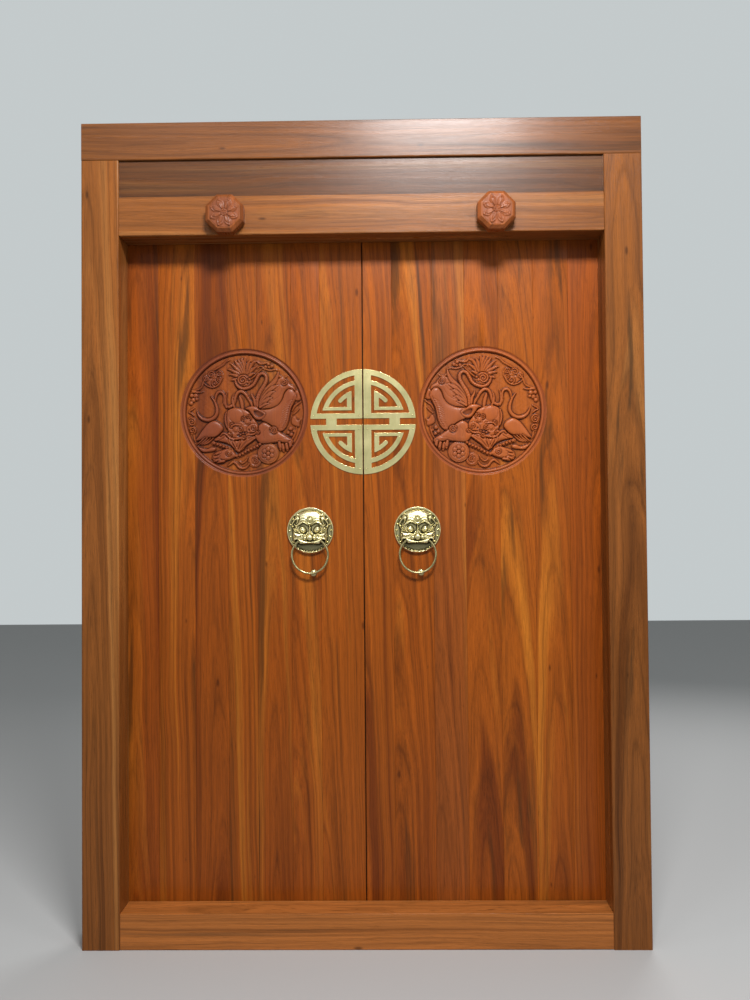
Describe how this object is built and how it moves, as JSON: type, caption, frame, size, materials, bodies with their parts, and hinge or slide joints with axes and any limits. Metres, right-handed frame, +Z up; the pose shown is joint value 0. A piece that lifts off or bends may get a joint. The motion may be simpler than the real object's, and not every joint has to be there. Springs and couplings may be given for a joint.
{
  "type": "double-leaf temple door",
  "caption": "Double-leaf wooden temple door in its frame: planked leaves with round carved beast medallions, a pierced brass roundel and lion-mask ring knockers.",
  "frame": {"origin": "middle of the sill's underside, halfway through the frame's depth", "axes": "+Z up, +X to the right of a viewer in front of the carved face, which looks towards -Y; the leaves open inward, towards +Y"},
  "size_m": [1.55, 0.2745, 2.275],
  "materials": {
    "frame_wood": "dark orange-brown lacquer, semi-gloss, straight grain",
    "leaf_wood": "orange-brown lacquer, semi-gloss, strong upright grain",
    "back_wood": "orange-brown, oiled, satin",
    "brass": "polished brass with dark recesses",
    "iron": "dark forged iron, satin"
  },
  "bodies": {
    "frame": {"door_pin_left": "frame_wood", "door_pin_right": "frame_wood", "door_pin_wedge_left": "back_wood", "door_pin_wedge_right": "back_wood", "head_rail": "frame_wood", "jamb_left": "frame_wood", "jamb_right": "frame_wood", "lintel": "frame_wood", "pivot_beam": "back_wood", "pivot_socket_left": "iron", "pivot_socket_right": "iron", "sill": "frame_wood", "socket_block_left": "back_wood", "socket_block_right": "back_wood", "transom_board": "frame_wood"},
    "leaf_left": {"batten_left_1": "back_wood", "batten_left_2": "back_wood", "batten_left_3": "back_wood", "batten_left_4": "back_wood", "mask_left": "brass", "pivot_plank_left": "leaf_wood", "plank_left_1": "leaf_wood", "plank_left_2": "leaf_wood", "plank_left_3": "leaf_wood", "plank_left_4": "leaf_wood", "plank_left_5": "leaf_wood", "plank_left_6": "leaf_wood", "roundel_left": "brass", "strike_stud_left": "brass", "bolt_guide_1": "back_wood", "bolt_guide_2": "back_wood"},
    "leaf_right": {"batten_right_1": "back_wood", "batten_right_2": "back_wood", "batten_right_3": "back_wood", "batten_right_4": "back_wood", "mask_right": "brass", "pivot_plank_right": "leaf_wood", "plank_right_1": "leaf_wood", "plank_right_2": "leaf_wood", "plank_right_3": "leaf_wood", "plank_right_4": "leaf_wood", "plank_right_5": "leaf_wood", "plank_right_6": "leaf_wood", "roundel_right": "brass", "strike_stud_right": "brass", "bolt_keeper": "back_wood"},
    "ring_left": {"ring_left": "brass"},
    "ring_right": {"ring_right": "brass"},
    "bolt": {"bolt_bar": "back_wood", "bolt_peg": "back_wood"}
  },
  "joints": [
    {"name": "leaf_left_swing", "type": "hinge", "parent": "frame", "child": "leaf_left", "pos_m": [-0.706, 0.076, 1.029], "axis": [0, 0, 1], "range_deg": [0, 100]},
    {"name": "leaf_right_swing", "type": "hinge", "parent": "frame", "child": "leaf_right", "pos_m": [0.706, 0.076, 1.029], "axis": [0, 0, -1], "range_deg": [0, 100]},
    {"name": "ring_left_swing", "type": "hinge", "parent": "leaf_left", "child": "ring_left", "pos_m": [-0.152, 0.02949, 1.107], "axis": [-1, 0, 0], "range_deg": [0, 100]},
    {"name": "ring_right_swing", "type": "hinge", "parent": "leaf_right", "child": "ring_right", "pos_m": [0.152, 0.02949, 1.107], "axis": [-1, 0, 0], "range_deg": [0, 100]},
    {"name": "bolt_slide", "type": "slide", "parent": "leaf_left", "child": "bolt", "axis": [1, 0, 0], "range_m": [0, 0.19]}
  ]
}
